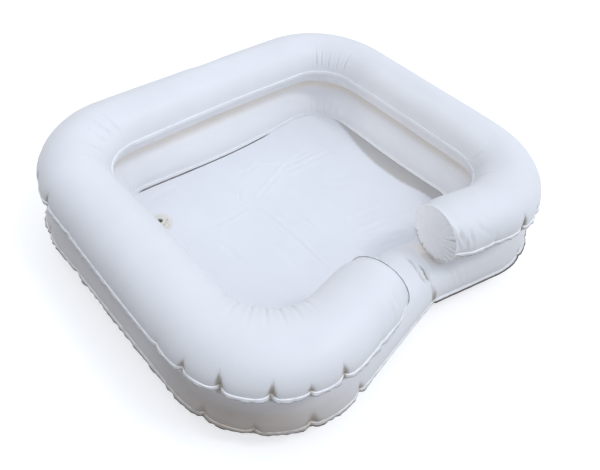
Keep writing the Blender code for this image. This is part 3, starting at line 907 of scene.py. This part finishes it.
            # Painted shade in folds, tucks, wrinkles and creases.
            marks["fold"] = max(notch_shade * smooth((0.75 - turn) / 0.6), dark)
            waver = rough(middle.x, middle.y, turn * 0.08 + side, 60 * MM) * 0.8 * MM
            swell = 1 + (waver * math.sin(turn) - depth) / root
            reach *= swell
            lift *= swell * (1 + 0.04 * free)
            if flat < rise and lift > level - 2 * MM:
                lift = level - 2 * MM * math.exp(-(lift - level + 2 * MM) / (2 * MM))
            spread = max(0.0, 1 - round_way / (36 * MM)) ** 1.6
            reach -= drawn * spread
            up = drawn * 0.28 * spread - sag * smooth((turn - 1.2) / 1.9)
            apart = max(lift, GAP / 2 + SHEET / 2)
            if out:
                path = outer_path if out > 0 else inner_path
                wide, down, angle = path[abs(out)]
                hand = 1 if out > 0 else -1
                apart = GAP / 2 + SHEET / 2
                reach = root * narrow * hand + (wide * margin + math.sin(angle) * apart * side) * hand
                reach -= drawn if out > 0 else 0.0
                apart *= math.cos(angle)
                up -= down * margin
                marks["weld"] = 1.0
                # Painted highlight along the weld bead near the root of the margin.
                marks["bead_highlight"] = math.exp(-(((abs(out) - 0.6) / 0.5) ** 2))
                if out > 0:
                    up += rough(place, 3.1, self.height, 22 * MM) * 0.8 * MM * (out * MM / WELD)
                    # Painted shade at each tuck.
                    marks["fold"] = max([gather.notch(away) for gather, away in gathers], default=0.0)
                    # Grime and painted shade on the hanging edge of the margin.
                    edge_darkness = smooth((out * MM / WELD - darkened) / 0.25)
                    marks["grime_and_shade"] = edge_darkness * (0.5 if self.open else 1)
                elif not self.open:
                    # A second bead by the free edge, raised a little, with its own painted highlight.
                    marks["bead_highlight"] = max(marks["bead_highlight"], math.exp(-(((abs(out) - 5.6) / 0.6) ** 2)))
                    up += marks["bead_highlight"] * 0.35 * MM
            elif turn in (0.0, math.pi):
                # Weld and bead with a painted highlight along the weld line itself.
                marks["weld"] = marks["bead_highlight"] = 0.6
            elif (side > 0) != self.open and free < 0.5:
                # Painted shade where the sheet presses on the other ring.
                marks["contact_shade"] = smooth(1 - (level - lift) / (9 * MM)) * (1 - smooth(free * 8))
                # The contact shade on the inner half also gets painted glow.
                if turn > math.pi / 2:
                    marks["painted_glow"] = max(marks["painted_glow"], marks["contact_shade"])
            spot = middle + across * reach
            point = Vector((spot.x, spot.y, max(self.height + side * apart + up, SHEET / 2)))
            if side > 0 and not out:
                point = self.seated(point, turn)
            points.append((point, marks))
        return points

    def seated(self, point, turn):
        """Draws the sheet in to the flange of the valve that is welded to it."""
        local = self.from_valve @ point
        away = math.hypot(local.x, local.y)
        if away < 55 * MM and local.z > -0.03:
            share = (1 - smooth((away - 15 * MM) / (36 * MM))) * smooth(turn / 0.07)
            drop = self.tube - math.sqrt(self.tube**2 - min(abs(local.y), 30 * MM) ** 2)
            local.z += (-drop - SHEET / 2 - local.z) * share
            point = self.valve @ local
        return point


def ring_sheet(name, ring, rise, flat, side, finish):
    """One sheet of a ring: a flat sheet of vinyl, bent over the air from weld to weld."""
    rows = len(ring.places)
    sections = [ring.section(row, side, rise, flat) for row in range(rows)]
    bm = bmesh.new()
    uv = bm.loops.layers.uv.new("sheet")
    layers = {mark: bm.verts.layers.float.new(mark) for mark in MARKS}
    made = bmesh.ops.create_grid(
        bm, x_segments=rows - 1, y_segments=len(COLUMNS) - 1, size=0.5, calc_uvs=True
    )
    for vert in made["verts"]:
        row = round((vert.co.x + 0.5) * (rows - 1))
        column = round((vert.co.y + 0.5) * (len(COLUMNS) - 1))
        vert.co, marks = sections[row][column]
        for mark, layer in layers.items():
            vert[layer] = marks[mark]
    for face in bm.faces:
        for loop in face.loops:
            row, column = loop[uv].uv
            loop[uv].uv = (row * ring.total, column * 0.17)
    if not ring.open:
        bmesh.ops.remove_doubles(bm, verts=bm.verts, dist=0.01 * MM)
    if side > 0:
        punch(bm, ring.valve, VALVE_HOLE, VALVE_HOLE, 2 * VALVE_HOLE)
    bmesh.ops.recalc_face_normals(bm, faces=bm.faces)
    made = new_object(name, bm, finish)
    thicken(made)
    return made


def punch(bm, place, cut, hole, near):
    """Opens a sheet with a round hole for what goes through it: cuts, then draws the near edge round."""
    back = place.inverted()
    spots = {vert: back @ vert.co for vert in bm.verts}
    level = [vert for vert, spot in spots.items() if abs(spot.z) < 10 * MM]
    inside = [vert for vert in level if spots[vert].xy.length < cut]
    bmesh.ops.delete(bm, geom=inside, context="VERTS")
    for vert in level:
        if vert.is_valid and vert.is_boundary and spots[vert].xy.length < near:
            spot = spots[vert]
            spot.xy *= hole / spot.xy.length
            vert.co = place @ spot


def thicken(made):
    """Gives a sheet its thickness, half to each side."""
    thickness = made.modifiers.new("thickness", "SOLIDIFY")
    thickness.thickness = SHEET
    thickness.offset = 0.0
    thickness.use_even_offset = False


def rings(white):
    """Both rings, each of a top sheet and an underside; the upper one is open at the front."""
    ends = (LEFT_END_X, RIGHT_END_X)
    upper = Ring(UPPER_WIDTH, UPPER_HEIGHT, UPPER_VALVE_X, UPPER_SWELLS, UPPER_GATHERS, UPPER_WRINKLES, ends)
    lower = Ring(LOWER_WIDTH, LOWER_HEIGHT, LOWER_VALVE_X, LOWER_SWELLS, LOWER_GATHERS, LOWER_WRINKLES)
    pieces = (
        ("upper_ring_top", upper, CROWN_RISE, 2 * RING_RISE, 1, "upper_ring_top_sheet"),
        ("upper_ring_underside", upper, RING_RISE, PRESSED, -1, "upper_ring_bottom_sheet"),
        ("lower_ring_top", lower, RING_RISE, PRESSED, 1, "lower_ring_top_sheet"),
        ("lower_ring_underside", lower, RING_RISE, LOWER_HEIGHT, -1, "lower_ring_bottom_sheet"),
    )
    for name, ring, rise, flat, side, node in pieces:
        made = ring_sheet(name, ring, rise, flat, side, white)
        dress(made, [node], "basin")
    return upper, lower


# End caps of the upper ring

# Pleats: the way round in degrees from the outer side, depth, and share of the radius
LEFT_PLEATS = [
    *((12, 1.4, 0.4), (47, 1.0, 0.3), (80, 1.3, 0.35), (118, 1.1, 0.3), (150, 1.4, 0.4)),
    *((190, 1.0, 0.3), (222, 1.2, 0.35), (255, 1.0, 0.3), (290, 1.3, 0.4), (330, 1.1, 0.3)),
]
RIGHT_PLEATS = [
    *((-71, 1.2, 0.3), (-50, 2.6, 0.55), (-41, 1.4, 0.3), (-24, 3.2, 0.7), (-12, 1.6, 0.35)),
    *((3, 3.0, 0.6), (12, 1.8, 0.3), (31, 2.6, 0.55), (44, 1.2, 0.3), (66, 1.0, 0.25)),
    *((97, 0.8, 0.25), (131, 1.2, 0.35), (158, 0.9, 0.25), (192, 1.4, 0.4), (219, 1.8, 0.5)),
    *((229, 1.2, 0.3), (252, 2.0, 0.45), (264, 1.2, 0.3), (281, 1.8, 0.4)),
]


def end_cap(name, ring, facing, bulge, pleats, white, painted_glow=0.0):
    """The bulged disc that closes an end of the upper ring: pleated, with a thin welded rim."""
    row = -1 if facing > 0 else 0
    outer, inner = ring.outer[row], ring.inner[row]
    middle = (outer + inner) / 2
    across = (outer - inner).normalized()
    along = Vector((-across.y, across.x)) * facing
    root = ((outer - inner).length / 2 - WELD + DROOP_REACH) * 0.87
    bm = bmesh.new()
    bm.loops.layers.uv.new("sheet")
    layers = {mark: bm.verts.layers.float.new(mark) for mark in MARKS}
    made = bmesh.ops.create_grid(bm, x_segments=240, y_segments=36, size=0.5, calc_uvs=True)
    for vert in made["verts"]:
        turn = (vert.co.x + 0.5) * 2 * math.pi
        wide = (vert.co.y + 0.5) * CAP_RIM_SHARE
        share = min(1.0, wide)
        rim = max(0.0, wide - 1.0) * root
        rise = (CROWN_RISE if turn < math.pi else RING_RISE) * 0.95
        height = max(rise * math.sin(turn), -PRESSED * 0.99)
        pressed = pleated(pleats, turn, share)
        dome = bulge * (1 - share**2.8)
        side, up = share * math.cos(turn), share * math.sin(turn)
        lumps = rough(side, up, facing * 3, 0.4) * 1.6 * MM + rough(side, up, facing * 5, 0.16) * 0.5 * MM
        out = dome + lumps * (1 - share**4) - pressed + GAP + SHEET
        spot = middle + across * ((root * share + rim) * math.cos(turn)) + along * out
        height = height * share + rim * math.sin(turn)
        vert.co = Vector((spot.x, spot.y, max(UPPER_HEIGHT + height, UPPER_HEIGHT - PRESSED)))
        # Painted shade where the cap rests on the lower ring and in its pleats, painted glow, and a painted
        # highlight on the rim.
        contact_shade = 1.6 * smooth((share - 0.8) / 0.2) * smooth((-math.sin(turn) - 0.35) / 0.5)
        vert[layers["fold"]] = min(0.5, max(0.0, pressed / MM) * 0.2)
        vert[layers["contact_shade"]] = contact_shade
        vert[layers["weld"]] = 1.0 if share >= 0.985 else 0.0
        vert[layers["painted_glow"]] = painted_glow * (1 - 0.7 * share * math.cos(turn)) * max(0.0, 1 - contact_shade)
        vert[layers["bead_highlight"]] = smooth(rim / (0.8 * MM))
    bmesh.ops.remove_doubles(bm, verts=bm.verts, dist=0.02 * MM)
    bmesh.ops.recalc_face_normals(bm, faces=bm.faces)
    made = new_object(name, bm, white)
    thicken(made)
    dress(made, [f"upper_ring_{name}"], "basin")


def pleated(pleats, turn, share):
    """How far the pleats press a cap in, at a turn and a share of its radius."""
    pressed = 0.0
    for place, depth, length in pleats:
        gap = (turn - math.radians(place) + math.pi) % (2 * math.pi) - math.pi
        gap += math.radians(7) * (1 - share) * math.sin(place)
        valley = math.exp(-abs(gap * 46 / 2.2) ** 1.6) - 0.4 * math.exp(-((abs(gap * 46) - 4) ** 2) / 3)
        pressed += depth * MM * valley * smooth((share - 1 + length) / (length * 0.8))
    return pressed * (1 - 0.75 * smooth((share - 0.93) / 0.07))


# Floor


FLOOR_CREASES = several(
    Crease,
    ([(-57, 48), (-50, 0), (-48, -50), (-52, -138)], 1.1, 3.0, 0.8),
    ([(-57, 48), (-100, 46), (-153, 48)], 0.72, 3.5, 0.8),
    ([(-57, 48), (-20, 62), (60, 92), (140, 104)], 0.8, 3.5, 0.8),
    ([(-48, 96), (-66, 69), (-57, 48)], 0.8, 2.2, 0.9),
    ([(-33, 72), (-45, 60), (-57, 48)], 0.72, 2.0, 0.9),
    ([(10, 136), (30, 112), (64, 87), (135, 89)], 0.8, 4.0, 0.8),
    ([(-40, 20), (-33, -11), (-6, -31), (-7, -68)], 0.8, 3.0, 0.9),
    ([(8, 78), (90, 76), (186, 72)], 0.72, 4.0, 0.8),
    ([(-43, 121), (0, 120), (32, 128)], 0.56, 4.0, 0.8),
    ([(27, -104), (99, -118), (160, -140)], 1.4, 4.5, 0.8),
    ([(5, -131), (65, -138), (124, -163)], 1.6, 4.5, 0.8),
    ([(43, -77), (90, -84), (130, -90)], 0.8, 5.0, 0.8),
    ([(-13, -133), (10, -143), (43, -150)], 1.1, 4.0, 0.8),
    ([(172, 64), (190, 44), (208, 31)], 0.64, 4.0, 0.8),
    ([(-185, 62), (-150, 10), (-146, -60)], 0.64, 5.0, 0.7),
    ([(-201, 154), (-170, 158), (-120, 160)], 0.64, 5.0, 0.7),
    ([(60, 20), (110, -10), (150, -20)], 0.56, 5.0, 0.7),
    ([(-94, -24), (-80, -60), (-90, -110)], 0.56, 5.0, 0.7),
)


def floor_sheet():
    """The floor: a flat cut sheet, welded under the lower ring and pulled taut, with a punched hole."""
    line = inner_line(-LOWER_WIDTH + WELD - 0.5 * MM)
    edge = evenly_spaced(line, 4 * FLOOR_STEPS)
    front_right = Vector((0.2, -0.16))
    first = min(range(len(edge)), key=lambda i: (edge[i] - front_right).length)
    edge = edge[first:] + edge[:first]
    bm = bmesh.new()
    bm.loops.layers.uv.new("sheet")
    made = bmesh.ops.create_grid(bm, x_segments=FLOOR_STEPS, y_segments=FLOOR_STEPS, size=1, calc_uvs=True)
    for vert in made["verts"]:
        x, y = vert.co.x, vert.co.y
        share = max(abs(x), abs(y))
        target = edge_point(edge, x / share, y / share) if share else edge[0]
        vert.co = floor_point(target * share, (1 - share) * target.length)
    punch(bm, DRAIN_PLACE, DRAIN_HOLE - 1 * MM, DRAIN_HOLE, 13 * MM)
    bmesh.ops.recalc_face_normals(bm, faces=bm.faces)
    area = sum(face.calc_area() for face in bm.faces)
    width, length = (max(point[i] for point in line) - min(point[i] for point in line) for i in (0, 1))
    made = new_object("floor_sheet", bm, vinyl("floor_vinyl_skin", FLOOR_TONE, floor=True))
    thicken(made)
    dress(made, ["basin_floor_sheet"], "basin")


def evenly_spaced(line, count):
    """Points at equal steps along a line."""
    ways = ways_along(line)
    points = []
    run = 0
    for i in range(count):
        want = ways[-1] * i / count
        while ways[run + 1] < want:
            run += 1
        share = (want - ways[run]) / (ways[run + 1] - ways[run])
        points.append(line[run].lerp(line[run + 1], share))
    return points


def edge_point(edge, x, y):
    """The point of the floor's edge that answers a point on the edge of a square grid."""
    if x >= 1:
        sides = (y + 1) / 2
    elif y >= 1:
        sides = 1 + (1 - x) / 2
    elif x <= -1:
        sides = 2 + (1 - y) / 2
    else:
        sides = 3 + (x + 1) / 2
    place = sides * FLOOR_STEPS
    before = math.floor(place)
    return edge[before % len(edge)].lerp(edge[(before + 1) % len(edge)], place - before)


def floor_point(spot, from_edge):
    """A point of the floor: it slopes in from its weld, sags a little and is creased."""
    slope = smooth((from_edge - 4 * MM) / (24 * MM))
    sink = FLOOR_SAG * slope
    edge = FLOOR_EDGE_HEIGHT - FLOOR_DROP * smooth((spot.y - 0.05) / 0.15) * (1 - slope)
    drain_gap = (spot - Vector((DRAIN_X, DRAIN_Y))).length
    calm = smooth((drain_gap - 18 * MM) / (20 * MM))
    wave = rough(spot.x, spot.y, 0.0, 90 * MM) * 1.5 * MM
    wave += rough(spot.x, spot.y, 0.3, 34 * MM) * 0.45 * MM
    pressed = sum(crease.depth_at(spot)[0] for crease in FLOOR_CREASES)
    height = edge - sink + (wave * 0.7 - pressed) * slope * calm - SHEET / 2
    return Vector((spot.x, spot.y, height))


# Drain and valves


def turned(profile):
    """An outline of (radius, height) points in mm, turned round +Z."""
    bm = bmesh.new()
    verts = [bm.verts.new((radius * MM, 0, height * MM)) for radius, height in profile]
    edges = [bm.edges.new(pair) for pair in zip(verts, verts[1:])]
    if profile[0][0] and profile[-1][0]:
        edges.append(bm.edges.new((verts[-1], verts[0])))
    bmesh.ops.spin(
        bm, geom=verts + edges, cent=(0, 0, 0), axis=(0, 0, 1), angle=2 * math.pi, steps=96, use_merge=True
    )
    bmesh.ops.remove_doubles(bm, verts=bm.verts, dist=0.005 * MM)
    return bm


def block(bm, low, high):
    """Adds a bar between two corners, in mm."""
    made = bmesh.ops.create_cube(bm, size=1)
    middle = (Vector(low) + Vector(high)) / 2 * MM
    bmesh.ops.scale(bm, verts=made["verts"], vec=(Vector(high) - Vector(low)) * MM)
    bmesh.ops.translate(bm, verts=made["verts"], vec=middle)


def moulding(name, bm, place, finish, body, soft=0.25):
    """A moulded piece with softened edges, moved to its place."""
    bmesh.ops.transform(bm, matrix=place, verts=bm.verts)
    bmesh.ops.recalc_face_normals(bm, faces=bm.faces)
    made = new_object(f"{name}_moulding", bm, finish)
    edges = made.modifiers.new("soft_edges", "BEVEL")
    edges.width = soft * MM
    edges.segments = 3
    edges.limit_method = "ANGLE"
    edges.angle_limit = math.radians(30)
    edges.harden_normals = True
    dress(made, [name], body)


def plug(bore, depth, taper, head_radius, head, reach, width, darkened=False):
    """A hollow stopper whose head stands on height 0, with its strap and a finger tab."""
    shank = bore - 0.3
    tip = shank - taper
    wall = 1.2
    outside = ((0, -depth), (tip, -depth), (shank, 0), (head_radius, 0), (head_radius, head))
    inside = ((shank - wall, head), (tip - wall, wall - depth), (0, wall - depth))
    bm = turned(outside + inside)
    # Painted shade inside the hollow of the stopper.
    if darkened:
        grime_and_shade = bm.verts.layers.float.new("grime_and_shade")
        for vert in bm.verts:
            inside = vert.co.xy.length < (shank - wall + 0.1) * MM and vert.co.z < 0.9 * head * MM
            vert[grime_and_shade] = 1.0 if inside and vert.co.z > (0.5 - depth) * MM else 0.0
    edge = (shank + head_radius) / 2
    block(bm, (-reach, -width / 2, 0.02), (-edge, width / 2, 1))
    block(bm, (edge, -width / 2, 0.02), (head_radius + 4, width / 2, 1))
    return bm


def drain(cream, film):
    """The drain: a clear patch on the floor, a flanged neck, and a stopper on a strap."""
    patch = turned(((8.9, 0.3), (21, 0.3), (21, 0.7), (8.9, 0.7)))
    moulding("drain_patch", patch, DRAIN_PLACE, film, "basin", 0.1)
    brim = ((8.6, 1), (16, 1), (16, 2), (15.2, 2.6), (8.6, 2.6))
    flange = turned(((6.4, -12), (8.6, -12), *brim, (8.6, 4), (6.4, 4)))
    block(flange, (-14.7, -3, 1.8), (-7.5, 3, 3.85))
    moulding("drain_flange", flange, DRAIN_PLACE, cream, "basin")
    stopper = plug(bore=6.4, depth=5, taper=1.3, head_radius=10, head=1.6, reach=15, width=6, darkened=True)
    lid = DRAIN_PLACE @ Matrix.Translation((0, 0, DRAIN_RIM + GAP))
    moulding("drain_plug", stopper, lid, cream, "drain_plug")


def valve(name, ring, clear):
    """A valve: a base welded to the ring, a stem that pushes in, a check flap and a strapped plug."""
    collar, flange = 7.5, 13
    brim = ((collar, 0.3), (flange, 0.3), (flange, 1.2), (collar, 1.2))
    base = turned(((5.8, -6), (collar, -6), *brim, (5.8, 1.2)))
    bend = ring.tube + 1.2 * MM
    for vert in base.verts:
        if vert.co.xy.length > (collar + 0.3) * MM:
            vert.co.z -= bend - math.sqrt(bend * bend - vert.co.y**2)
    moulding(f"{name}_base", base, ring.valve, clear, "basin", 0.2)
    outside = ((3, -16.3), (6.6, -16.3), (6.6, -15.3), (5.5, -15.3), (5.5, 1.5), (6.8, 1.5), (6.8, 2.9))
    stem = turned((*outside, (4.2, 2.9), (4.2, -15.3), (3, -15.3)))
    block(stem, (-10.2, -2, 1.52), (-4.85, 2, 2.88))
    moulding(f"{name}_stem", stem, ring.valve, clear, f"{name}_stem", 0.15)
    flap = turned(((0, -17.1), (4.1, -17.1), (4.1, -16.6), (0, -16.6)))
    block(flap, (-5.2, -1.5, -17.08), (-2.05, 1.5, -16.62))
    moulding(f"{name}_flap", flap, ring.valve, clear, f"{name}_flap", 0.1)
    stopper = plug(bore=4.2, depth=4.5, taper=0.8, head_radius=6.4, head=1.3, reach=10.5, width=4)
    lid = ring.valve @ Matrix.Translation((0, 0, STEM_RIM + GAP))
    moulding(f"{name}_plug", stopper, lid, clear, f"{name}_plug", 0.2)


def main():
    scene = bpy.context.scene
    scene.view_settings.view_transform = "Standard"
    scene.cycles.max_bounces = 14
    scene.cycles.diffuse_bounces = 10
    camera()
    world()
    key_light()
    studio_floor()
    white = vinyl("white_vinyl_skin", RING_TONE)
    upper, lower = rings(white)
    end_cap("left_end_cap", upper, 1, LEFT_BULGE, LEFT_PLEATS, white)
    # The right cap carries painted glow that lifts its shade.
    end_cap("right_end_cap", upper, -1, RIGHT_BULGE, RIGHT_PLEATS, white, painted_glow=0.75)
    floor_sheet()
    cream = moulded("cream_pvc_moulding", CREAM, CREAM_SHADE, 0.3)
    film = moulded("drain_patch_film", PATCH, PATCH_SHADE, 0.32)
    clear = moulded("clear_pvc_moulding", CLEAR, CLEAR_SHADE, 0.2, 0.25)
    drain(cream, film)
    valve("upper_valve", upper, clear)
    valve("lower_valve", lower, clear)
    elbow = frame["nodes"]["drain_elbow"]
    elbow.data.materials.clear()
    elbow.data.materials.append(cream)


main()
